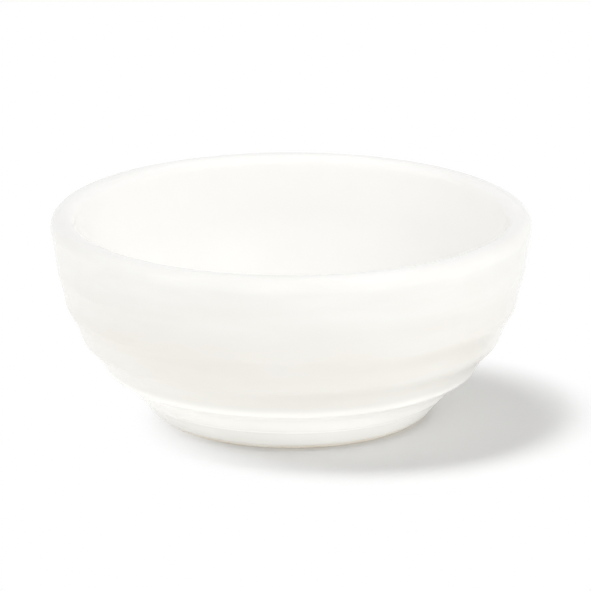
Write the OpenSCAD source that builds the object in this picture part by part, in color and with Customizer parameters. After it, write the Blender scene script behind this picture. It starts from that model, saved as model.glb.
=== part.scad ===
// Soy sauce dish: a small, thick-walled round dish of fired clay with a full-round rim,
// soft finger rings outside and a turned foot ring. Glaze covers all of it but the edge
// that it stands on. Millimetres, +Z up, origin at the middle of the foot, on the table.
// Sizes are those of the finished, glazed dish unless the comment says otherwise.

/* [Dish] */
// Diameter over the rim
rim_d = 89; // [78:1:104]
// Height from the table to the top of the rim
dish_h = 38; // [34:0.5:48]

/* [Wall] */
// Thickness of the rim and of the wall below it
rim_t = 4.6; // [3.8:0.1:6]
// Lean of the upper wall, in degrees out from upright
wall_lean = 8.8; // [6:0.2:12]
// Radius of the belly, outside
belly_r = 34; // [31:0.5:37]
// Radius between the wall and the floor, inside
well_r = 24; // [19:0.5:26]
// Thickness of the floor
floor_t = 4.2; // [3.4:0.1:6]

/* [Finger rings] */
// Number of rings between the foot and the rim
ring_count = 5; // [3:1:8]
// Depth of the lowest ring's hollow
ring_depth_low = 0.7; // [0.2:0.05:0.9]
// Depth of the highest ring's hollow
ring_depth_high = 0.05; // [0.05:0.05:0.4]

/* [Foot] */
// Diameter of the waist, where the belly meets the foot
waist_d = 57; // [53:0.5:61]
// Height of the waist above the table
waist_h = 4.3; // [3.8:0.1:5.5]
// Radius of the hollow curve at the waist
waist_r = 2.5; // [1:0.1:4]
// Diameter of the foot ring where it meets the table
foot_d = 49.5; // [46:0.5:52]
// Width of the foot ring where it meets the table
foot_w = 4; // [3:0.1:5]
// Rounding of the foot ring's bare edges
foot_edge_r = 0.7; // [0.3:0.1:0.9]
// Slope of the foot ring's inner side, in degrees from upright
foot_draft = 12; // [4:1:20]
// Height of the hollow under the floor
hollow_h = 2.6; // [2.3:0.1:3.4]
// Radius of the corner inside that hollow
hollow_r = 0.9; // [0.4:0.1:1.2]

/* [Glaze] */
// Thickness of the fired glaze
glaze_t = 0.3; // [0.15:0.05:0.5]
// Height of the bare clay below the glaze's edge
bare_h = 1; // [0.7:0.1:1.2]

/* [Hidden] */

// Steps along one finger ring, round the rim, round a corner, round the whole dish and
// up the curve between its floor and wall
ring_steps = 12;
rim_steps = 28;
corner_steps = 10;
turn_steps = 180;
well_steps = 36;

// How soft the crest between two rings is: 0 is a sharp edge, 1 is nearly a plain wave
crest_soft_share = 0.2;

function heading(angle) = [cos(angle), sin(angle)];
function reversed(points) = [for (i = [len(points) - 1:-1:0]) points[i]];

// Points on an arc, from one heading to another, both ends included
function arc(centre, radius, from, to, steps) =
    [for (i = [0:steps]) centre + radius * heading(from + (to - from) * i / steps)];

// A rounded corner b between the straights a-b and b-c
function rounded(a, b, c, radius) =
    let(
        back = (a - b) / norm(a - b),
        on = (c - b) / norm(c - b),
        half = acos(back * on) / 2,
        middle = b + radius / sin(half) * (back + on) / norm(back + on),
        first = b + radius / tan(half) * back - middle,
        last = b + radius / tan(half) * on - middle,
        turn = first[0] * last[1] - first[1] * last[0] > 0 ? 1 : -1,
        start = atan2(first[1], first[0])
    )
    arc(middle, radius, start, start + turn * (180 - 2 * half), corner_steps);

// Headings of the outer wall: straight out through it, and down along it
wall_out = heading(-wall_lean);
wall_down = heading(-90 - wall_lean);

// Centre of the rim's round, and where it runs into the wall outside and inside
rim_c = [(rim_d - rim_t) / 2, dish_h - rim_t / 2];
wall_top = rim_c + rim_t / 2 * wall_out;
lining_top = rim_c - rim_t / 2 * wall_out;

// The belly is a circle that touches the straight wall and passes through the waist:
// belly_drop is how far down the wall it takes over.
waist = [waist_d / 2, waist_h];
waist_to_centre = wall_top - belly_r * wall_out - waist;
along = waist_to_centre * wall_down;
belly_drop = -along - sqrt(along * along - waist_to_centre * waist_to_centre + belly_r * belly_r);
belly_c = waist + waist_to_centre + belly_drop * wall_down;

// Side of the foot ring, from the table up to the waist
foot_out = [foot_d / 2, 0];
side_up = (waist - foot_out) / norm(waist - foot_out);
side_out = [side_up[1], -side_up[0]];

// The curve at the waist touches the side of the foot and the belly from outside:
// side_run is how far up the side it starts.
waist_from_foot = foot_out + waist_r * side_out - belly_c;
rise = waist_from_foot * side_up;
reach = belly_r + waist_r;
side_run = -rise - sqrt(rise * rise - waist_from_foot * waist_from_foot + reach * reach);
waist_c = belly_c + waist_from_foot + side_run * side_up;
waist_angle = atan2(waist_c[1] - belly_c[1], waist_c[0] - belly_c[0]);
side_angle = atan2(-side_out[1], -side_out[0]);

// Length of the ringed stretch: the belly's arc, then the straight wall
belly_len = belly_r * (-wall_lean - waist_angle) * PI / 180;
ringed_len = belly_len + belly_drop;
ring_pitch = ringed_len / ring_count;

// Depth of the finger rings at a distance up the wall from the waist
function hollow(run) =
    let(
        wave = sqrt(pow(sin(180 * run / ring_pitch), 2) + pow(crest_soft_share, 2)),
        full = sqrt(1 + pow(crest_soft_share, 2))
    )
    (ring_depth_low + (ring_depth_high - ring_depth_low) * run / ringed_len)
        * (wave - crest_soft_share) / (full - crest_soft_share);

// A point of the ringed wall, at a distance up from the waist and a depth under the glaze
function wall_point(run, under) =
    let(
        angle = waist_angle + run / belly_r * 180 / PI,
        sunk = hollow(run) + under
    )
    run < belly_len
        ? belly_c + (belly_r - sunk) * heading(angle)
        : wall_top + (ringed_len - run) * wall_down - sunk * wall_out;

// Inside, a fillet joins the wall to the flat floor: lining_run is how far down it starts
floor_z = hollow_h + floor_t;
lining_run = (lining_top[1] - well_r * wall_out[1] - floor_z - well_r) / cos(wall_lean);
well_c = lining_top - well_r * wall_out + lining_run * wall_down;

// The side of the foot at a height, and the foot ring's inner side, both at a depth
function foot_side(height, under) =
    [foot_out[0] - under / side_out[0], 0] + height / side_up[1] * side_up;
function foot_inner(height, under) =
    [foot_d / 2 - foot_w + under / cos(foot_draft) - height * tan(foot_draft), height];

// The dish's skin from the glaze's edge on the foot, up outside, over the rim and down
// to the middle of the floor, at a depth under the glaze's surface
function skin(under) = concat(
    [foot_side(bare_h, under)],
    arc(waist_c, waist_r + under, side_angle, waist_angle + 180, corner_steps),
    [for (i = [1:ring_count * ring_steps - 1]) wall_point(i * ring_pitch / ring_steps, under)],
    arc(rim_c, rim_t / 2 - under, -wall_lean, 180 - wall_lean, rim_steps),
    arc(well_c, well_r + under, -wall_lean, -90, well_steps),
    [[0, floor_z - under]]
);

// The skin under the floor, from the middle out and down to the glaze's other edge
function underside(under) =
    let(
        corner = foot_inner(hollow_h + under, under),
        radius = min(hollow_r, hollow_h - bare_h) + under,
        middle = [0, hollow_h + under],
        edge = foot_inner(bare_h, under)
    )
    concat([middle], rounded(middle, corner, edge, radius), [edge]);

// The bare edge that the dish stands on, from the glaze's inner edge to its outer one
bare_edge_r = min(foot_edge_r, bare_h);
standing_in = foot_inner(0, glaze_t);
standing_out = foot_side(0, glaze_t);
standing_edge = concat(
    rounded(foot_inner(bare_h, glaze_t), standing_in, standing_out, bare_edge_r),
    rounded(standing_in, standing_out, foot_side(bare_h, glaze_t), bare_edge_r)
);

// A coat of glaze between the clay and the finished surface
module coat(surface, clay) {
    rotate_extrude($fn = turn_steps) polygon(concat(surface, reversed(clay)));
}

// The fired clay: wall, floor and foot ring in one
module clay_body() {
    color("#e4ddcf") rotate_extrude($fn = turn_steps)
        polygon(concat(skin(glaze_t), underside(glaze_t), standing_edge));
}

// The glaze inside and outside, unbroken over the rim, down to the foot
module glaze_coat() {
    color("#f4f2ec") coat(skin(0), skin(glaze_t));
}

// The glaze in the hollow under the floor, which the bare edge cuts off from the rest
module underfoot_glaze() {
    color("#eceae3") coat(underside(0), underside(glaze_t));
}

clay_body();
glaze_coat();
underfoot_glaze();
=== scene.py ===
"""A small soy sauce dish of glazed ceramic: its turned shape, its finishes and a plain studio.

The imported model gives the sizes. The dish is turned here again from the same outline, finely
enough for a glossy glaze, with finger rings that wander a little, a glaze line with a rolled
edge and a bare, sponged foot. Lengths are in metres, with +Z up and the dish standing on 0.
"""

import cmath
import logging
import math
from collections.abc import Callable
from dataclasses import dataclass, field, replace
from enum import Enum
from functools import partial
from typing import Any

import bpy
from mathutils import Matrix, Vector


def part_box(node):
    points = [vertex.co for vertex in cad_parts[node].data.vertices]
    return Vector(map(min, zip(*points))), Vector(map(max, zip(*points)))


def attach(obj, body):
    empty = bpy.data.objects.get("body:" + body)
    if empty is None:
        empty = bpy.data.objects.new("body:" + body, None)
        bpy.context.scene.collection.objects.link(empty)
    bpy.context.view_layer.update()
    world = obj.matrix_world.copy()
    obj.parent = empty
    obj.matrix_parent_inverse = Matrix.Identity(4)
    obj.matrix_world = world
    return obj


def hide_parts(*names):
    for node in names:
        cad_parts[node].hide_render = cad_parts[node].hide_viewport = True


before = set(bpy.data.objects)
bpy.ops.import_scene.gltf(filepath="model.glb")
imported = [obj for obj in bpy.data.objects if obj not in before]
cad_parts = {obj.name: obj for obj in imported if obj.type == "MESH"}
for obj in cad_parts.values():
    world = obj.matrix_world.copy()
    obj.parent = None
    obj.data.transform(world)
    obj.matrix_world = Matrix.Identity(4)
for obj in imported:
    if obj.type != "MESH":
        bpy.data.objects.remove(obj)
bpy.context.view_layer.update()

MM = 0.001
BODY = "root"
OFF_THE_RINGS = -1.0  # a mark's run where no finger ring reaches
WELD = 0.001 * MM  # points that lie closer than this are merged
log = logging.getLogger("soy_sauce_dish")


class Slot(Enum):
    """The record's material slots."""

    BARE_CLAY = "bare_clay"
    GLAZE = "glaze"


def linear(hex_colour: str) -> tuple[float, float, float, float]:
    """Turns an sRGB colour into the linear one that a shader takes.

    Args:
        hex_colour: six hex digits after a hash, such as "#f3f0e8".

    Returns:
        Linear red, green and blue, and an alpha of 1.
    """
    shares = [int(hex_colour[i : i + 2], 16) / 255 for i in (1, 3, 5)]
    red, green, blue = [s / 12.92 if s <= 0.04045 else ((s + 0.055) / 1.055) ** 2.4 for s in shares]
    return red, green, blue, 1.0


def add_node(
    tree: bpy.types.NodeTree, kind: str, inputs: dict[str | int, Any] | None = None, **settings: Any
) -> bpy.types.Node:
    """Adds a node with its settings and links.

    Args:
        tree: the node tree that it goes into.
        kind: the node's Blender type name.
        inputs: for each input, by name or number, a value, an output socket, or a node whose
            first output is linked.
        settings: properties of the node itself.

    Returns:
        The new node.
    """
    node = tree.nodes.new(kind)
    for name, value in settings.items():
        setattr(node, name, value)
    for key, value in (inputs or {}).items():
        socket = node.inputs[key] if isinstance(key, int) else next(
            s for s in node.inputs if s.enabled and s.name == key
        )
        if isinstance(value, bpy.types.Node):
            value = next(s for s in value.outputs if s.enabled)
        if isinstance(value, bpy.types.NodeSocket):
            tree.links.new(value, socket)
        else:
            socket.default_value = value
    return node


def blank_material(name: str) -> bpy.types.Material:
    """Makes a material whose node tree is empty.

    Args:
        name: its name.

    Returns:
        The new material.
    """
    material = bpy.data.materials.new(name)
    material.use_nodes = True
    material.node_tree.nodes.clear()
    return material


def aimed(
    name: str, data: bpy.types.Light | bpy.types.Camera, place: Vector, target: Vector
) -> bpy.types.Object:
    """Puts a lamp or a camera in the scene, turned to face a target.

    Args:
        name: its name.
        data: the lamp or camera.
        place: where it is.
        target: the point that it faces.

    Returns:
        The new object.
    """
    holder = bpy.data.objects.new(name, data)
    holder.location = place
    holder.rotation_mode = "QUATERNION"
    holder.rotation_quaternion = (target - place).to_track_quat("-Z", "Y")
    bpy.context.scene.collection.objects.link(holder)
    return holder


@dataclass(frozen=True)
class Mark:
    """A point of a turned outline, as radius + height i.

    `out` points out of the dish and `run` is the share of the ringed wall passed so far. `slip`
    is how the wavering glaze line moves the point, and the last field sets the glaze's tone: whiter
    where glaze gathers and where light is painted in, warmer where glaze thins and where shade is
    painted in.
    """

    place: complex
    out: complex
    run: float = OFF_THE_RINGS
    slip: complex = 0j
    pool: float = 0.0


def heading(angle: float) -> complex:
    """The unit step at an angle up from straight out."""
    return cmath.rect(1, angle)


def in_space(point: complex) -> tuple[float, float, float]:
    """A point of an outline, in the plane of X and Z."""
    return point.real, 0.0, point.imag


def arc(
    centre: complex, radius: float, start: float, end: float, steps: int, hollow: bool = False
) -> list[Mark]:
    """Marks along an arc, both ends included.

    Args:
        centre: the arc's centre.
        radius: its radius.
        start: the heading of its first point from the centre.
        end: the heading of its last point.
        steps: the number of steps between them.
        hollow: whether the surface faces the centre.

    Returns:
        The marks in order.
    """
    facing = -1 if hollow else 1
    headings = [heading(start + (end - start) * i / steps) for i in range(steps + 1)]
    return [Mark(centre + radius * step, facing * step) for step in headings]


def straight(first: complex, last: complex, steps: int) -> list[Mark]:
    """Marks on a straight stretch between two points, ends left out, with its face on the right."""
    out = (last - first) / abs(last - first) * -1j
    return [Mark(first + (last - first) * i / steps, out) for i in range(1, steps)]


def rounded(
    before: complex, corner: complex, after: complex, radius: float, steps: int
) -> list[Mark]:
    """Rounds the corner between two straight stretches.

    Args:
        before: a point on the stretch that comes in.
        corner: where the stretches would meet.
        after: a point on the stretch that goes on.
        radius: the rounding's radius.
        steps: the number of steps round it.

    Returns:
        The marks in order, both ends included.
    """
    back = (before - corner) / abs(before - corner)
    on = (after - corner) / abs(after - corner)
    half = abs(cmath.phase(back / on)) / 2
    centre = corner + radius / math.sin(half) * (back + on) / abs(back + on)
    start = cmath.phase(corner + radius / math.tan(half) * back - centre)
    turn = math.copysign(math.pi - 2 * half, (on / -back).imag)
    return arc(centre, radius, start, start + turn, steps, hollow=turn < 0)


def gathered_and_painted_light(marks: list[Mark], start: float, end: float, swell: float) -> list[Mark]:
    """Sets the tone for gathered glaze and painted light: an even change and a swell half way.

    Args:
        marks: the marks, in order.
        start: the share at the first mark, whiter above 0 and thinner, warmer below 0.
        end: the share at the last mark.
        swell: the share added half way.

    Returns:
        The marks with their tone shares, for gathered glaze and for painted light.
    """
    steps = max(1, len(marks) - 1)
    shares = [i / steps for i in range(len(marks))]
    return [
        replace(mark, pool=start + (end - start) * share + swell * math.sin(math.pi * share))
        for mark, share in zip(marks, shares)
    ]


def between(steps: tuple[tuple[float, float], ...], at: float) -> float:
    """Reads a value between the steps of a table.

    Args:
        steps: pairs of a place and the value there, in rising order.
        at: the place to read, within the table.

    Returns:
        The value, on the straight line between the two nearest steps.
    """
    for (low, first), (high, last) in zip(steps, steps[1:]):
        if at <= high:
            return first + (last - first) * (at - low) / (high - low)
    return steps[-1][1]


@dataclass
class DishOutline:
    """The outline that the dish is turned from, with its sizes as finished and glazed."""

    rim_radius: float
    height: float
    glaze_line: float
    rim_thickness: float = 4.6 * MM
    wall_lean: float = math.radians(8.8)
    belly_radius: float = 34 * MM
    well_radius: float = 24 * MM
    floor_thickness: float = 4.2 * MM
    waist: complex = complex(28.5, 4.3) * MM
    waist_radius: float = 2.5 * MM
    foot_radius: float = 24.75 * MM
    foot_width: float = 4 * MM
    foot_rounding: float = 0.7 * MM
    foot_draft: float = math.radians(12)
    hollow_height: float = 2.6 * MM
    hollow_rounding: float = 0.9 * MM
    glaze: float = 0.3 * MM
    rolled_share: float = 0.35
    trimming_pitch: float = 2.3 * MM
    trimming_depth: float = 0.09 * MM
    trimming_margin: float = 1.5 * MM
    trimming_fade: float = 2 * MM

    # Where glaze gathers: at the first mark, at the last one, and the swell half way. The whiter
    # tone on the waist is partly painted light bounced up from the table, and on the rim and the
    # inside it is partly painted light from above.
    waist_pool_and_painted_light: tuple[float, float, float] = (0.1, 0.6, 0.8)
    rim_pool_and_painted_light: tuple[float, float, float] = (0.2, 1.1, 0.0)
    inside_pool_and_painted_light: tuple[float, float, float] = (1.2, 1.2, 0.0)
    underside_pool: tuple[float, float, float] = (0.1, 0.3, 0.0)
    underside_corner_pool: tuple[float, float, float] = (0.3, 0.5, 0.4)
    roll_pool: tuple[float, float, float] = (-1.2, 0.0, 0.0)
    slope_pool: tuple[float, float, float] = (0.0, 0.1, 0.0)

    # The same up the ringed wall, as pairs of the share passed and the tone share there. The
    # whiter lowest ring is partly gathered glaze and partly painted light bounced up from the
    # table, and the thinner belly is partly painted shade.
    wall_pool_and_painted_light: tuple[tuple[float, float], ...] = (
        (0.0, 0.6),
        (0.1, 0.7),
        (0.19, 1.0),
        (0.21, 0.9),
        (0.25, -0.25),
        (0.4, -0.35),
        (0.55, -0.5),
        (0.7, -0.35),
        (0.8, -0.15),
        (0.92, 0.0),
        (1.0, 0.1),
    )

    # Steps along each stretch of the outline, before the skin is made finer.
    waist_steps: int = 5
    wall_steps: int = 35
    rim_steps: int = 16
    lining_steps: int = 3
    well_steps: int = 18
    floor_steps: int = 4
    underside_steps: int = 56
    corner_steps: int = 8
    roll_steps: int = 6

    def __post_init__(self) -> None:
        """Works out where the arcs of the outline meet."""
        self.wall_out = heading(-self.wall_lean)
        self.wall_down = heading(-math.pi / 2 - self.wall_lean)
        half_rim = self.rim_thickness / 2
        self.rim_centre = complex(self.rim_radius - half_rim, self.height - half_rim)
        self.wall_top = self.rim_centre + half_rim * self.wall_out
        start = self.wall_top - self.belly_radius * self.wall_out
        drop = self.touch(start, self.wall_down, self.waist, self.belly_radius)
        self.belly_centre = start + drop * self.wall_down
        self.foot_out = complex(self.foot_radius, 0)
        self.side_up = (self.waist - self.foot_out) / abs(self.waist - self.foot_out)
        self.side_out = self.side_up * -1j
        start = self.foot_out + self.waist_radius * self.side_out
        reach = self.belly_radius + self.waist_radius
        run = self.touch(start, self.side_up, self.belly_centre, reach)
        self.waist_centre = start + run * self.side_up
        self.waist_heading = cmath.phase(self.waist_centre - self.belly_centre)
        self.belly_length = self.belly_radius * (-self.wall_lean - self.waist_heading)
        self.ringed_length = self.belly_length + drop
        self.floor = self.hollow_height + self.floor_thickness
        top = self.rim_centre - (half_rim + self.well_radius) * self.wall_out
        run = (top.imag - self.floor - self.well_radius) / math.cos(self.wall_lean)
        self.well_centre = top + run * self.wall_down

    @staticmethod
    def touch(start: complex, way: complex, target: complex, distance: float) -> float:
        """Finds the first point on a way that lies at a distance from a target.

        Args:
            start: where the way starts.
            way: its heading.
            target: the target.
            distance: the distance from the target.

        Returns:
            How far along the way the point lies.
        """
        back = start - target
        along = (back * way.conjugate()).real
        return -along - math.sqrt(along**2 - abs(back) ** 2 + distance**2)

    def side(self, height: float, under: float) -> complex:
        """A point on the foot's outer side, at a height and a depth under the glaze."""
        foot = self.foot_out - under / self.side_out.real
        return foot + height / self.side_up.imag * self.side_up

    def inner_side(self, height: float, under: float) -> complex:
        """A point on the foot's inner side, at a height and a depth under the glaze."""
        radius = self.foot_radius - self.foot_width + under / math.cos(self.foot_draft)
        return complex(radius - height * math.tan(self.foot_draft), height)

    def ringed_wall(self, under: float, steps: int) -> list[Mark]:
        """Draws the wall from the waist to the rim, before the rings are pressed into it.

        Glaze runs down it while it melts, so it is thin on the belly and gathers in the lowest
        ring. The lowest ring's whiter tone is partly painted light from below, and the belly's
        warmer tone is partly painted shade.

        Args:
            under: the depth under the glaze's surface.
            steps: the number of steps along it.

        Returns:
            The marks in order, both ends left out.
        """
        marks = []
        for i in range(1, steps):
            up = self.ringed_length * i / steps
            if up < self.belly_length:
                out = heading(self.waist_heading + up / self.belly_radius)
                place = self.belly_centre + (self.belly_radius - under) * out
            else:
                out = self.wall_out
                place = self.wall_top + (self.ringed_length - up) * self.wall_down - under * out
            share = i / steps
            marks.append(Mark(place, out, run=share, pool=between(self.wall_pool_and_painted_light, share)))
        return marks

    def skin(self, under: float, fineness: int) -> list[Mark]:
        """Draws the skin from the waist up outside, over the rim and down to the floor's middle.

        Args:
            under: the depth under the glaze's surface.
            fineness: how many times finer than the coarsest steps.

        Returns:
            The marks in order.
        """
        low = cmath.phase(-self.side_out)
        high = self.waist_heading + math.pi
        radius = self.waist_radius + under
        waist = arc(self.waist_centre, radius, low, high, self.waist_steps * fineness, hollow=True)
        low = -self.wall_lean
        high = math.pi - self.wall_lean
        radius = self.rim_thickness / 2 - under
        rim = arc(self.rim_centre, radius, low, high, self.rim_steps * fineness)
        radius = self.well_radius + under
        steps = self.well_steps * fineness
        well = arc(self.well_centre, radius, low, -math.pi / 2, steps, hollow=True)
        middle = complex(0, self.floor - under)
        inside = [
            *straight(rim[-1].place, well[0].place, self.lining_steps * fineness),
            *well,
            *straight(well[-1].place, middle, self.floor_steps * fineness),
            Mark(middle, 1j),
        ]
        return [
            *gathered_and_painted_light(waist, *self.waist_pool_and_painted_light),
            *self.ringed_wall(under, self.wall_steps * fineness),
            *gathered_and_painted_light(rim, *self.rim_pool_and_painted_light),
            *gathered_and_painted_light(inside, *self.inside_pool_and_painted_light),
        ]

    def underside(self, under: float) -> list[Mark]:
        """Draws the skin under the floor, from the middle out to the corner inside the foot ring.

        Args:
            under: the depth under the glaze's surface.

        Returns:
            The marks in order.
        """
        middle = complex(0, self.hollow_height + under)
        edge = self.inner_side(self.hollow_height + under, under)
        low = self.inner_side(0, under)
        corner = rounded(middle, edge, low, self.hollow_rounding + under, self.corner_steps)
        flat = [Mark(middle, -1j), *straight(middle, corner[0].place, self.underside_steps)]
        places = [mark.place + 1j * self.trimming(mark.place.real) for mark in flat]
        trimmed = [replace(mark, place=place) for mark, place in zip(flat, places)]
        return [
            *gathered_and_painted_light(trimmed, *self.underside_pool),
            *gathered_and_painted_light(corner, *self.underside_corner_pool),
        ]

    def trimming(self, radius: float) -> float:
        """Finds how deep the trimming tool's shallow rings are, which fade out at the edge.

        Args:
            radius: the distance from the axis.

        Returns:
            The depth there.
        """
        left = self.foot_radius - self.foot_width - self.trimming_margin - radius
        fade = min(1.0, max(0.0, left / self.trimming_fade))
        wave = 1 - math.cos(2 * math.pi * radius / self.trimming_pitch)
        return self.trimming_depth * fade * wave / 2

    def rolled_edge(self, low: complex, top: complex, out: complex) -> list[Mark]:
        """Draws the glaze's edge on the foot: a small roll, then a slope to its plain thickness.

        Args:
            low: the point on the clay where the glaze ends.
            top: the point on the clay where the glaze has its plain thickness.
            out: the way out of the clay.

        Returns:
            The marks in order, from the clay outwards and up.
        """
        length = abs(top - low)
        up = (top - low) / length
        thick = self.glaze * (1 + self.rolled_share)
        steps = self.roll_steps
        turns = [math.pi / 2 * i / steps for i in range(steps + 1)]
        faces = [math.sin(turn) * out - math.cos(turn) * up for turn in turns]
        roll = [Mark(low + thick * (up + face), out, slip=up) for face in faces]
        slope = []
        for i in range(1, steps):
            share = (1 + math.cos(math.pi * i / steps)) / 2
            lift = self.glaze * (1 + self.rolled_share * share)
            place = low + (thick + (length - thick) * i / steps) * up + lift * out
            slope.append(Mark(place, out, slip=share * up))
        return [*gathered_and_painted_light(roll, *self.roll_pool), *gathered_and_painted_light(slope, *self.slope_pool)]


@dataclass(frozen=True)
class FingerRings:
    """The soft rings that fingers press into the outside of the wall, as uneven as a hand is."""

    count: int = 5
    depth_low: float = 0.7 * MM
    depth_high: float = 0.05 * MM
    crest_softness: float = 0.2
    wander: float = 0.012
    unevenness: float = 0.25
    reach: float = 38 * MM


@dataclass
class Wheel:
    """The potter's wheel: turns an outline into a closed skin, with the marks of a hand in it."""

    height: float
    rings: FingerRings = field(default_factory=FingerRings)
    sway: float = 0.16 * MM
    sway_reach: float = 60 * MM
    waver: float = 0.16 * MM
    waver_reach: float = 9 * MM
    seed: float = 7.0

    def __post_init__(self) -> None:
        """Builds the node tree once for all the turned pieces."""
        self.tree = bpy.data.node_groups.new("turned_on_the_wheel", "GeometryNodeTree")
        self.add = partial(add_node, self.tree)
        self.inputs: dict[str, bpy.types.NodeTreeInterfaceSocket] = {}
        for name, kind in (
            ("Outline", "Geometry"),
            ("Turn steps", "Int"),
            ("Ring count", "Int"),
            ("Ring depth low", "Float"),
            ("Ring depth high", "Float"),
            ("Crest softness", "Float"),
            ("Ring wander", "Float"),
            ("Ring unevenness", "Float"),
            ("Ring reach", "Float"),
            ("Height", "Float"),
            ("Sway", "Float"),
            ("Sway reach", "Float"),
            ("Waver", "Float"),
            ("Waver reach", "Float"),
            ("Seed", "Float"),
            ("Finish", "Material"),
        ):
            self.inputs[name] = self.tree.interface.new_socket(
                name, in_out="INPUT", socket_type=f"NodeSocket{kind}"
            )
        self.tree.interface.new_socket("Turned", in_out="OUTPUT", socket_type="NodeSocketGeometry")
        self.given = self.add("NodeGroupInput").outputs
        self.draw_tree()

    def draw_tree(self) -> None:
        """Draws the tree: a grid is laid along the outline and round the axis, then pressed."""
        add = self.add
        given = self.given
        count = add("GeometryNodeAttributeDomainSize", {0: given["Outline"]}, component="MESH")
        columns = add("ShaderNodeMath", {0: given["Turn steps"], 1: 1.0}, operation="ADD")
        sides = {"Size X": 1.0, "Size Y": 1.0, "Vertices X": columns, "Vertices Y": count}
        grid = add("GeometryNodeMeshGrid", sides)
        spot = add("ShaderNodeSeparateXYZ", {0: add("GeometryNodeInputPosition")}).outputs
        turned = {0: spot[0], 1: math.tau, 2: math.pi}
        angle = add("ShaderNodeMath", turned, operation="MULTIPLY_ADD")
        last = add("ShaderNodeMath", {0: count, 1: 1.0}, operation="SUBTRACT")
        share = add("ShaderNodeMath", {0: spot[1], 1: 0.5}, operation="ADD")
        row = add("ShaderNodeMath", {0: share, 1: last}, operation="MULTIPLY")
        row = add("ShaderNodeMath", {0: row}, operation="ROUND")
        marks = self.read_marks(row, angle)
        place = marks["place"]
        ring_noise, sway_noise, waver_noise = self.draw_noises(place)

        # The whole form sways a little more with its height. The glaze line wavers on the foot.
        level = add("ShaderNodeSeparateXYZ", {0: place}).outputs[2]
        level = add("ShaderNodeMath", {0: level, 1: given["Height"]}, operation="DIVIDE")
        level = add("ShaderNodeMath", {0: level, 1: given["Sway"]}, operation="MULTIPLY")
        sway = add("ShaderNodeVectorMath", {0: sway_noise, "Scale": level}, operation="SCALE")
        waver = add("ShaderNodeSeparateXYZ", {0: waver_noise}).outputs[0]
        waver = add("ShaderNodeMath", {0: waver, 1: given["Waver"]}, operation="MULTIPLY")
        line = add("ShaderNodeVectorMath", {0: marks["slip"], "Scale": waver}, operation="SCALE")

        moved = place
        for move in (self.press_rings(marks, ring_noise), sway, line):
            moved = add("ShaderNodeVectorMath", {0: moved, 1: move}, operation="ADD")
        skin = add(
            "GeometryNodeStoreNamedAttribute",
            {"Geometry": grid, "Name": "pool", "Value": marks["pool"]},
            data_type="FLOAT",
            domain="POINT",
        )
        skin = add("GeometryNodeSetPosition", {"Geometry": skin, "Position": moved})
        skin = add("GeometryNodeMergeByDistance", {"Geometry": skin, "Distance": WELD})
        skin = add("GeometryNodeSetShadeSmooth", {"Geometry": skin})
        skin = add("GeometryNodeRealizeInstances", {"Geometry": skin})
        skin = add("GeometryNodeSetMaterial", {"Geometry": skin, "Material": given["Finish"]})
        add("NodeGroupOutput", {0: skin})

    def read_marks(self, row: bpy.types.Node, angle: bpy.types.Node) -> dict[str, bpy.types.Node]:
        """Draws the nodes that read the outline's marks on the grid.

        Args:
            row: the mark that each point of the grid stands for.
            angle: how far round the axis the point lies.

        Returns:
            For each of a mark's fields, the node that gives it, turned round the axis.
        """
        add = self.add
        marks = {}
        for name, kind in (
            ("place", "FLOAT_VECTOR"),
            ("out", "FLOAT_VECTOR"),
            ("slip", "FLOAT_VECTOR"),
            ("run", "FLOAT"),
            ("pool", "FLOAT"),
        ):
            value = add("GeometryNodeInputNamedAttribute", {"Name": name}, data_type=kind)
            sampled = {0: self.given["Outline"], "Value": value, "Index": row}
            found = add("GeometryNodeSampleIndex", sampled, data_type=kind)
            if kind == "FLOAT_VECTOR":
                turned = {"Vector": found, "Angle": angle}
                found = add("ShaderNodeVectorRotate", turned, rotation_type="Z_AXIS")
            marks[name] = found
        return marks

    def draw_noises(self, place: bpy.types.Node) -> list[bpy.types.Node]:
        """Draws the seeded noises that make the dish uneven, each swinging about nothing.

        Args:
            place: the node that gives the place where they are read.

        Returns:
            The nodes that give the noise of the rings, the sway and the waver, as vectors whose
            parts go from -0.5 to 0.5.
        """
        noises = []
        for reach, detail in (("Ring reach", 1.5), ("Sway reach", 0.0), ("Waver reach", 2.0)):
            scale = self.add("ShaderNodeMath", {0: 1.0, 1: self.given[reach]}, operation="DIVIDE")
            noise = self.add(
                "ShaderNodeTexNoise",
                {"Vector": place, "W": self.given["Seed"], "Scale": scale, "Detail": detail},
                noise_dimensions="4D",
            )
            middled = {0: noise.outputs["Color"], 1: (0.5, 0.5, 0.5)}
            noises.append(self.add("ShaderNodeVectorMath", middled, operation="SUBTRACT"))
        return noises

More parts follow.
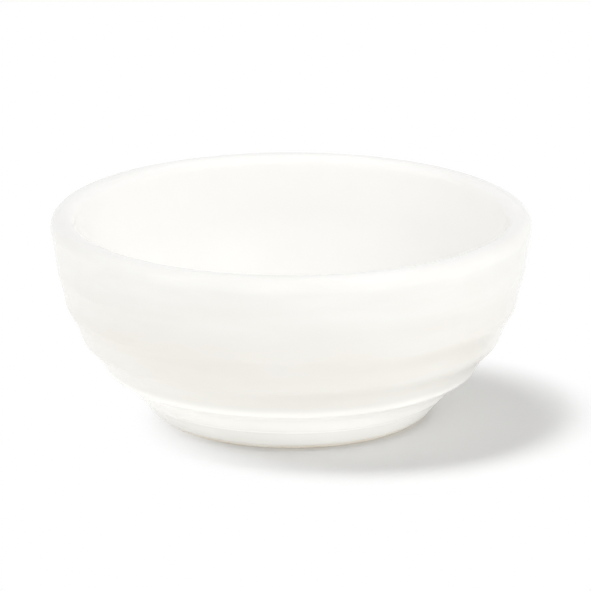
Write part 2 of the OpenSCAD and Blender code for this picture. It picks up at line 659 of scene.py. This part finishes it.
    def press_rings(
        self, marks: dict[str, bpy.types.Node], noise: bpy.types.Node
    ) -> bpy.types.Node:
        """Draws the finger rings: soft waves up the wall that wander, but keep both its ends.

        Args:
            marks: the nodes that give the marks on the grid.
            noise: the node that gives the rings' unevenness.

        Returns:
            The node that gives each point's move.
        """
        add = self.add
        given = self.given
        run = marks["run"]
        uneven = add("ShaderNodeSeparateXYZ", {0: noise}).outputs
        ends = add("ShaderNodeMath", {0: run, 1: math.pi}, operation="MULTIPLY")
        ends = add("ShaderNodeMath", {0: ends}, operation="SINE")
        drift = add("ShaderNodeMath", {0: uneven[0], 1: given["Ring wander"]}, operation="MULTIPLY")
        drift = add("ShaderNodeMath", {0: drift, 1: ends, 2: run}, operation="MULTIPLY_ADD")
        phase = add("ShaderNodeMath", {0: drift, 1: given["Ring count"]}, operation="MULTIPLY")
        phase = add("ShaderNodeMath", {0: phase, 1: math.pi}, operation="MULTIPLY")
        wave = add("ShaderNodeMath", {0: phase}, operation="SINE")
        soft = given["Crest softness"]
        square = add("ShaderNodeMath", {0: soft, 1: 2.0}, operation="POWER")
        wave = add("ShaderNodeMath", {0: wave, 1: wave, 2: square}, operation="MULTIPLY_ADD")
        wave = add("ShaderNodeMath", {0: wave}, operation="SQRT")
        full = add("ShaderNodeMath", {0: square, 1: 1.0}, operation="ADD")
        full = add("ShaderNodeMath", {0: full}, operation="SQRT")
        wave = add("ShaderNodeMapRange", {"Value": wave, "From Min": soft, "From Max": full})
        low, high = given["Ring depth low"], given["Ring depth high"]
        depth = add("ShaderNodeMapRange", {"Value": run, "To Min": low, "To Max": high})
        swing = {0: uneven[1], 1: given["Ring unevenness"], 2: 1.0}
        varied = add("ShaderNodeMath", swing, operation="MULTIPLY_ADD")
        depth = add("ShaderNodeMath", {0: depth, 1: varied}, operation="MULTIPLY")
        on_wall = add("ShaderNodeMath", {0: run, 1: 0.0}, operation="GREATER_THAN")
        depth = add("ShaderNodeMath", {0: depth, 1: on_wall}, operation="MULTIPLY")
        pressed = add("ShaderNodeMath", {0: wave, 1: depth}, operation="MULTIPLY")
        inward = add("ShaderNodeMath", {0: pressed, 1: -1.0}, operation="MULTIPLY")
        return add("ShaderNodeVectorMath", {0: marks["out"], "Scale": inward}, operation="SCALE")

    def turn(
        self, name: str, marks: list[Mark], turn_steps: int, finish: bpy.types.Material
    ) -> bpy.types.Object:
        """Turns an outline round the Z axis into a closed skin.

        Args:
            name: the new piece's name.
            marks: its outline, which starts and ends on the axis.
            turn_steps: the number of steps round the axis.
            finish: the piece's material.

        Returns:
            The piece, as a plain mesh.
        """
        line = bpy.data.meshes.new(f"{name}_outline")
        places = [in_space(mark.place) for mark in marks]
        line.from_pydata(places, [(i, i + 1) for i in range(len(marks) - 1)], [])
        for key in ("place", "out", "slip"):
            layer = line.attributes.new(key, "FLOAT_VECTOR", "POINT")
            vectors = [in_space(getattr(mark, key)) for mark in marks]
            layer.data.foreach_set("vector", [number for vector in vectors for number in vector])
        for key in ("run", "pool"):
            layer = line.attributes.new(key, "FLOAT", "POINT")
            layer.data.foreach_set("value", [getattr(mark, key) for mark in marks])
        piece = bpy.data.objects.new(name, line)
        bpy.context.scene.collection.objects.link(piece)

        modifier = piece.modifiers.new("wheel", "NODES")
        modifier.node_group = self.tree
        for key, value in (
            ("Turn steps", turn_steps),
            ("Ring count", self.rings.count),
            ("Ring depth low", self.rings.depth_low),
            ("Ring depth high", self.rings.depth_high),
            ("Crest softness", self.rings.crest_softness),
            ("Ring wander", self.rings.wander),
            ("Ring unevenness", self.rings.unevenness),
            ("Ring reach", self.rings.reach),
            ("Height", self.height),
            ("Sway", self.sway),
            ("Sway reach", self.sway_reach),
            ("Waver", self.waver),
            ("Waver reach", self.waver_reach),
            ("Seed", self.seed),
            ("Finish", finish),
        ):
            modifier[self.inputs[key].identifier] = value
        graph = bpy.context.evaluated_depsgraph_get()
        seen = piece.evaluated_get(graph)
        turned = bpy.data.meshes.new_from_object(
            seen, preserve_all_data_layers=True, depsgraph=graph
        )
        piece.modifiers.clear()
        piece.data = turned
        bpy.data.meshes.remove(line)
        turned.name = name
        return piece


@dataclass(frozen=True)
class WarmWhiteGlaze:
    """Warm white gloss glaze: dipped over the clay and fired to a smooth, glassy skin."""

    plain: str = "#ebeae7"
    # The thin tone, used on the belly, is partly painted shade, and the whitest tone is partly
    # painted light.
    thin_and_painted_shade: str = "#e4dfd8"
    gathered_and_painted_light: str = "#fcfbf9"
    roughness: float = 0.16
    ior: float = 1.5
    streak_width: float = 22 * MM
    streak_height: float = 4.5 * MM
    streak_share: float = 0.16
    streak_band: tuple[float, float] = (0.3, 0.7)
    flow_reach: float = 9 * MM
    flow_height: float = 0.02 * MM
    peel_reach: float = 2.4 * MM
    peel_height: float = 0.003 * MM
    pinhole_spacing: float = 9 * MM
    pinhole_radius: float = 0.16 * MM
    pinhole_depth: float = 0.05 * MM

    def material(self) -> bpy.types.Material:
        """Builds the glaze.

        Returns:
            The material.
        """
        material = blank_material("warm_white_gloss_glaze")
        add = partial(add_node, material.node_tree)
        place = add("ShaderNodeTexCoord").outputs["Object"]

        # The glaze is whiter where it runs thick in a hollow, and where it is thin the warm clay
        # shows through. The same tone also carries painted light: whiter on the lowest ring, the
        # waist, the rim and the inside, and darker on the belly as painted shade. Soft level
        # streaks in it come from the dipping and the turned clay.
        pool = add("ShaderNodeAttribute", attribute_name="pool").outputs["Fac"]
        spread = (1 / self.streak_width, 1 / self.streak_width, 1 / self.streak_height)
        streaks = add("ShaderNodeVectorMath", {0: place, 1: spread}, operation="MULTIPLY")
        streaks = add("ShaderNodeTexNoise", {"Vector": streaks, "Scale": 1.0, "Detail": 2.0})
        streaks = add(
            "ShaderNodeMapRange",
            {
                "Value": streaks,
                "From Min": self.streak_band[0],
                "From Max": self.streak_band[1],
                "To Min": -self.streak_share,
                "To Max": self.streak_share,
            },
        )
        amount = add("ShaderNodeMath", {0: pool, 1: streaks}, operation="ADD")
        amount = add("ShaderNodeMapRange", {"Value": amount, "From Min": -1.0, "From Max": 1.0})
        colour = add("ShaderNodeValToRGB", {0: amount})
        ramp = colour.color_ramp
        # The warm end of the ramp is partly painted shade, and the white end partly painted light.
        ramp.elements[0].color = linear(self.thin_and_painted_shade)
        ramp.elements[1].color = linear(self.gathered_and_painted_light)
        ramp.elements.new(0.5).color = linear(self.plain)

        # A fired glaze isn't flat: it keeps slow waves from its flow and a fine peel.
        flow = add(
            "ShaderNodeTexNoise", {"Vector": place, "Scale": 1 / self.flow_reach, "Detail": 1.0}
        )
        peel = add(
            "ShaderNodeTexNoise", {"Vector": place, "Scale": 1 / self.peel_reach, "Detail": 1.0}
        )
        spaced = {"Vector": place, "Scale": 1 / self.pinhole_spacing}
        holes = add("ShaderNodeTexVoronoi", spaced, feature="F1")
        holes = add(
            "ShaderNodeMapRange",
            {"Value": holes, "From Max": self.pinhole_radius / self.pinhole_spacing},
            interpolation_type="SMOOTHSTEP",
        )
        surface = add("ShaderNodeBump", {"Distance": self.flow_height, "Height": flow})
        surface = add(
            "ShaderNodeBump", {"Distance": self.peel_height, "Height": peel, "Normal": surface}
        )
        surface = add(
            "ShaderNodeBump", {"Distance": self.pinhole_depth, "Height": holes, "Normal": surface}
        )
        shader = add(
            "ShaderNodeBsdfPrincipled",
            {"Base Color": colour, "Roughness": self.roughness, "IOR": self.ior, "Normal": surface},
        )
        add("ShaderNodeOutputMaterial", {"Surface": shader})
        return material


@dataclass(frozen=True)
class FiredStoneware:
    """Pale stoneware clay: turned, sponged and fired without a glaze, dry and faintly gritty."""

    plain: str = "#efebe3"
    toasted: str = "#e8e0d4"
    grit: str = "#d8cfc0"
    roughness: float = 0.82
    ior: float = 1.5
    tone_reach: float = 11 * MM
    tone_band: tuple[float, float] = (0.35, 0.7)
    grit_size: float = 0.45 * MM
    grit_band: tuple[float, float] = (0.62, 0.74)
    grit_height: float = 0.03 * MM
    tool_pitch: float = 0.5 * MM
    tool_height: float = 0.012 * MM

    def material(self) -> bpy.types.Material:
        """Builds the clay.

        Returns:
            The material.
        """
        material = blank_material("sponged_stoneware_clay")
        add = partial(add_node, material.node_tree)
        place = add("ShaderNodeTexCoord").outputs["Object"]

        # Its colour drifts where the kiln toasted it, and sponging lays bare a little grit.
        tone = add(
            "ShaderNodeTexNoise", {"Vector": place, "Scale": 1 / self.tone_reach, "Detail": 3.0}
        )
        low, high = self.tone_band
        tone = add("ShaderNodeMapRange", {"Value": tone, "From Min": low, "From Max": high})
        body = add(
            "ShaderNodeMix",
            {"Factor": tone, "A": linear(self.plain), "B": linear(self.toasted)},
            data_type="RGBA",
        )
        grains = add(
            "ShaderNodeTexNoise", {"Vector": place, "Scale": 1 / self.grit_size, "Detail": 2.0}
        )
        low, high = self.grit_band
        specks = add("ShaderNodeMapRange", {"Value": grains, "From Min": low, "From Max": high})
        colour = add(
            "ShaderNodeMix",
            {"Factor": specks, "A": body.outputs["Result"], "B": linear(self.grit)},
            data_type="RGBA",
        )

        # The foot was turned with a tool, which leaves fine rings round the axis.
        spot = add("ShaderNodeSeparateXYZ", {0: place})
        flat = add("ShaderNodeCombineXYZ", {0: spot.outputs[0], 1: spot.outputs[1]})
        radius = add("ShaderNodeVectorMath", {0: flat}, operation="LENGTH").outputs["Value"]
        rings = add(
            "ShaderNodeMath", {0: radius, 1: math.tau / self.tool_pitch}, operation="MULTIPLY"
        )
        rings = add("ShaderNodeMath", {0: rings}, operation="SINE")
        surface = add("ShaderNodeBump", {"Distance": self.tool_height, "Height": rings})
        surface = add(
            "ShaderNodeBump", {"Distance": self.grit_height, "Height": grains, "Normal": surface}
        )
        colour = colour.outputs["Result"]
        shader = add(
            "ShaderNodeBsdfPrincipled",
            {"Base Color": colour, "Roughness": self.roughness, "IOR": self.ior, "Normal": surface},
        )
        add("ShaderNodeOutputMaterial", {"Surface": shader})
        return material


@dataclass
class TurnedPiece:
    """A piece of the dish that is turned on the wheel and stands for a CAD node."""

    outline: DishOutline
    name: str
    node: str
    slot: Slot
    finish: WarmWhiteGlaze | FiredStoneware
    turn_steps: int

    def marks(self) -> list[Mark]:
        """The piece's outline, from the axis round to the axis."""
        raise NotImplementedError

    def dress(self) -> bpy.types.Material:
        """Makes the piece's finish."""
        return self.finish.material()

    def build(self, wheel: Wheel) -> bpy.types.Object:
        """Turns the piece and puts it in the frame.

        Args:
            wheel: the wheel that turns it.

        Returns:
            The finished piece.
        """
        piece = wheel.turn(self.name, self.marks(), self.turn_steps, self.dress())
        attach(piece, BODY)
        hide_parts(self.node)
        return piece


@dataclass
class ClayBody(TurnedPiece):
    """The fired clay in one: wall, floor and foot ring, bare on the edge that it stands on."""

    name: str = "turned_clay_body"
    node: str = "clay_body"
    slot: Slot = Slot.BARE_CLAY
    finish: FiredStoneware = FiredStoneware()
    turn_steps: int = 360
    inner_steps: int = 3
    standing_steps: int = 6
    outer_steps: int = 6

    def marks(self) -> list[Mark]:
        """Draws the clay from under the floor, round the foot and over the rim to the floor.

        Returns:
            The marks in order.
        """
        shape = self.outline
        under = shape.underside(shape.glaze)
        skin = shape.skin(shape.glaze, 1)
        stand_in = shape.inner_side(0, shape.glaze)
        stand_out = shape.side(0, shape.glaze)
        rounding, steps = shape.foot_rounding, shape.corner_steps
        inner = rounded(under[-1].place, stand_in, stand_out, rounding, steps)
        outer = rounded(stand_in, stand_out, skin[0].place, rounding, steps)
        return [
            *under,
            *straight(under[-1].place, inner[0].place, self.inner_steps),
            *inner,
            *straight(inner[-1].place, outer[0].place, self.standing_steps),
            *outer,
            *straight(outer[-1].place, skin[0].place, self.outer_steps),
            *skin,
        ]


@dataclass
class GlazeCoat(TurnedPiece):
    """The glaze over the outside, the rim and the inside, down to its rolled edge on the foot."""

    name: str = "dipped_glaze_coat"
    node: str = "glaze_coat"
    slot: Slot = Slot.GLAZE
    finish: WarmWhiteGlaze = WarmWhiteGlaze()
    turn_steps: int = 360

    def marks(self) -> list[Mark]:
        """Draws the clay side from the floor out and down, then the open side back.

        Returns:
            The marks in order.
        """
        shape = self.outline
        clay_side = shape.skin(shape.glaze, 1)
        open_side = shape.skin(0, 2)
        low = shape.side(shape.glaze_line, shape.glaze)
        return [
            *reversed(clay_side),
            *shape.rolled_edge(low, clay_side[0].place, shape.side_out),
            *open_side,
        ]


@dataclass
class UnderfootGlaze(TurnedPiece):
    """The glaze in the hollow under the floor, which the bare edge cuts off from the rest."""

    name: str = "underfoot_glaze_pool"
    node: str = "underfoot_glaze"
    slot: Slot = Slot.GLAZE
    finish: WarmWhiteGlaze = WarmWhiteGlaze()
    turn_steps: int = 288

    def marks(self) -> list[Mark]:
        """Draws the open side from the middle out and down, then the clay side back.

        Returns:
            The marks in order.
        """
        shape = self.outline
        open_side = shape.underside(0)
        clay_side = shape.underside(shape.glaze)
        low = shape.inner_side(shape.glaze_line, shape.glaze)
        out = -heading(shape.foot_draft)
        return [
            *open_side,
            *reversed(shape.rolled_edge(low, clay_side[-1].place, out)),
            *reversed(clay_side),
        ]


class Lit(Enum):
    """What a softbox lights, as a photographer screens it off with flags."""

    ALL = "all"
    DISH = "all but the table that is seen"
    TABLE = "the table that is seen"


@dataclass(frozen=True)
class Softbox:
    """A round soft lamp that faces the dish: where it hangs, its width and its power in watts.

    The glaze reflects it only where `glints` is set, so that the fill lamps leave no spots.
    """

    name: str
    place: tuple[float, float, float]
    width: float
    power: float
    glints: bool = False
    lit: Lit = Lit.ALL


@dataclass
class Studio:
    """A white table in plain soft light, and the camera at the photograph's angle."""

    softboxes: tuple[Softbox, ...] = (
        Softbox("overhead_softbox", (0.1, 0.25, 1.6), 1.6, 2.0, glints=True),
        Softbox("front_right_softbox", (0.95, -1.15, 1.2), 1.2, 11.8, lit=Lit.DISH),
        Softbox("right_softbox", (1.5, -0.5, 0.7), 1.4, 2.7, lit=Lit.DISH),
        Softbox("left_softbox", (-1.5, -0.5, 0.7), 1.4, 8.2, lit=Lit.DISH),
        Softbox("shadow_softbox", (-0.42, -0.12, 1.5), 0.5, 12.6, lit=Lit.TABLE),
    )

    # Two sheets make the table: one that is seen, with the shadow on it, and close under it one
    # that only bounces light up to the dish, and glows faintly as a light table does.
    table_width: float = 6.0
    bounce_drop: float = 0.05 * MM
    bounce: str = "#fafaf8"
    glow: float = 0.185
    shadowed: str = "#ededed"
    shadow_lift: float = 0.04
    plain_white: str = "#ffffff"

    # The shadow is kept up to a distance from its middle, and fades to plain white further out.
    shadow_middle: tuple[float, float, float] = (16 * MM, -6 * MM, 0.0)
    shadow_reach: float = 28 * MM
    shadow_end: float = 46 * MM

    sky: float = 0.57
    near: float = 0.1
    far: float = 20.0
    distance: float = 1.3
    elevation: float = math.radians(16.4)
    lens: float = 427.0
    looked_at: Vector = field(default_factory=lambda: Vector((0, 0, 19 * MM)))
    aim_right: float = 0.78 * MM
    aim_up: float = 2.91 * MM

    def lay_sheet(
        self, name: str, level: float
    ) -> tuple[bpy.types.Object, Callable[..., bpy.types.Node]]:
        """Lays a level sheet with an empty material.

        Args:
            name: the sheet's name, and its material's.
            level: its height.

        Returns:
            The sheet, and the function that adds a node to its material.
        """
        half = self.table_width / 2
        mesh = bpy.data.meshes.new(name)
        corners = [(-half, -half), (half, -half), (half, half), (-half, half)]
        mesh.from_pydata([(x, y, level) for x, y in corners], [], [(0, 1, 2, 3)])
        material = blank_material(name)
        mesh.materials.append(material)
        sheet = bpy.data.objects.new(name, mesh)
        bpy.context.scene.collection.objects.link(sheet)
        return sheet, partial(add_node, material.node_tree)

    def lay_bounce_sheet(self) -> None:
        """Lays the sheet that bounces light up to the dish, and that no camera sees."""
        sheet, add = self.lay_sheet("bounce_sheet", -self.bounce_drop)
        bounce = add("ShaderNodeBsdfDiffuse", {"Color": linear(self.bounce)})
        glow = add("ShaderNodeEmission", {"Color": linear(self.bounce), "Strength": self.glow})
        both = add("ShaderNodeAddShader", {0: bounce, 1: glow})
        add("ShaderNodeOutputMaterial", {"Surface": both})
        sheet.visible_camera = False
        sheet.visible_glossy = False
        sheet.visible_transmission = False

    def lay_table(self) -> bpy.types.Object:
        """Lays the table that is seen, with the dish's shadow, and plain white further out.

        Returns:
            The table.
        """
        table, add = self.lay_sheet("white_table", 0.0)
        white = linear(self.plain_white)
        shadowed = add("ShaderNodeBsdfDiffuse", {"Color": linear(self.shadowed)})
        lift = add("ShaderNodeEmission", {"Color": white, "Strength": self.shadow_lift})
        shadowed = add("ShaderNodeAddShader", {0: shadowed, 1: lift})
        plain = add("ShaderNodeEmission", {"Color": white, "Strength": 1.0})
        place = add("ShaderNodeTexCoord").outputs["Object"]
        away = add("ShaderNodeVectorMath", {0: place, 1: self.shadow_middle}, operation="DISTANCE")
        away = away.outputs["Value"]
        away = add(
            "ShaderNodeMapRange",
            {"Value": away, "From Min": self.shadow_reach, "From Max": self.shadow_end},
            interpolation_type="SMOOTHSTEP",
        )
        seen = add("ShaderNodeMixShader", {0: away, 1: shadowed, 2: plain})
        add("ShaderNodeOutputMaterial", {"Surface": seen})
        table.visible_diffuse = False
        table.visible_shadow = False
        return table

    def light_tent(self) -> None:
        """Surrounds the table with soft white light, which looks plain white where it is seen."""
        world = bpy.data.worlds.new("white_tent")
        world.use_nodes = True
        world.node_tree.nodes.clear()
        add = partial(add_node, world.node_tree)
        ray = add("ShaderNodeLightPath").outputs
        direct = {0: ray["Is Camera Ray"], 1: ray["Is Glossy Ray"]}
        seen = add("ShaderNodeMath", direct, operation="MAXIMUM")
        seen = add("ShaderNodeMath", {0: seen, 1: ray["Is Transmission Ray"]}, operation="MAXIMUM")
        white = linear(self.plain_white)
        fill = add("ShaderNodeBackground", {"Color": white, "Strength": self.sky})
        plain = add("ShaderNodeBackground", {"Color": white, "Strength": 1.0})
        both = add("ShaderNodeMixShader", {0: seen, 1: fill, 2: plain})
        add("ShaderNodeOutputWorld", {"Surface": both})
        bpy.context.scene.world = world

    def hang_lamps(self, table: bpy.types.Object) -> None:
        """Hangs the softboxes, each facing the dish and screened off from what it leaves unlit.

        Args:
            table: the table that is seen.
        """
        for softbox in self.softboxes:
            lamp = bpy.data.lights.new(softbox.name, "AREA")
            lamp.shape = "DISK"
            lamp.size = softbox.width
            lamp.energy = softbox.power
            holder = aimed(softbox.name, lamp, Vector(softbox.place), self.looked_at)
            holder.visible_glossy = softbox.glints
            if softbox.lit is not Lit.ALL:
                screened = bpy.data.collections.new(f"lit_by_{softbox.name}")
                screened.objects.link(table)
                state = "INCLUDE" if softbox.lit is Lit.TABLE else "EXCLUDE"
                screened.collection_objects[0].light_linking.link_state = state
                holder.light_linking.receiver_collection = screened

    def set_camera(self) -> None:
        """Places the camera at the photograph's angle, with the dish as it lies in its frame."""
        back = Vector((0, -math.cos(self.elevation), math.sin(self.elevation)))
        up = Vector((0, math.sin(self.elevation), math.cos(self.elevation)))
        aim = self.looked_at + Vector((self.aim_right, 0, 0)) + self.aim_up * up
        camera = bpy.data.cameras.new("camera")
        camera.lens = self.lens
        camera.clip_start = self.near
        camera.clip_end = self.far
        place = self.looked_at + self.distance * back
        bpy.context.scene.camera = aimed("camera", camera, place, aim)

    def build(self) -> None:
        """Sets the whole studio."""
        self.lay_bounce_sheet()
        table = self.lay_table()
        self.light_tent()
        self.hang_lamps(table)
        self.set_camera()
        bpy.context.scene.view_settings.view_transform = "Standard"


def main() -> None:
    """Builds the dish piece by piece, then the studio."""
    logging.basicConfig(level=logging.INFO, format="%(message)s")
    low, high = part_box("glaze_coat")
    outline = DishOutline(rim_radius=high.x, height=high.z, glaze_line=low.z)
    wheel = Wheel(height=outline.height)
    for piece in (ClayBody(outline), GlazeCoat(outline), UnderfootGlaze(outline)):
        made = piece.build(wheel)
        log.info("%s: %d faces", made.name, len(made.data.polygons))
    Studio().build()
    log.info("studio: table, tent, softboxes and camera")


if __name__ == "__main__":
    main()
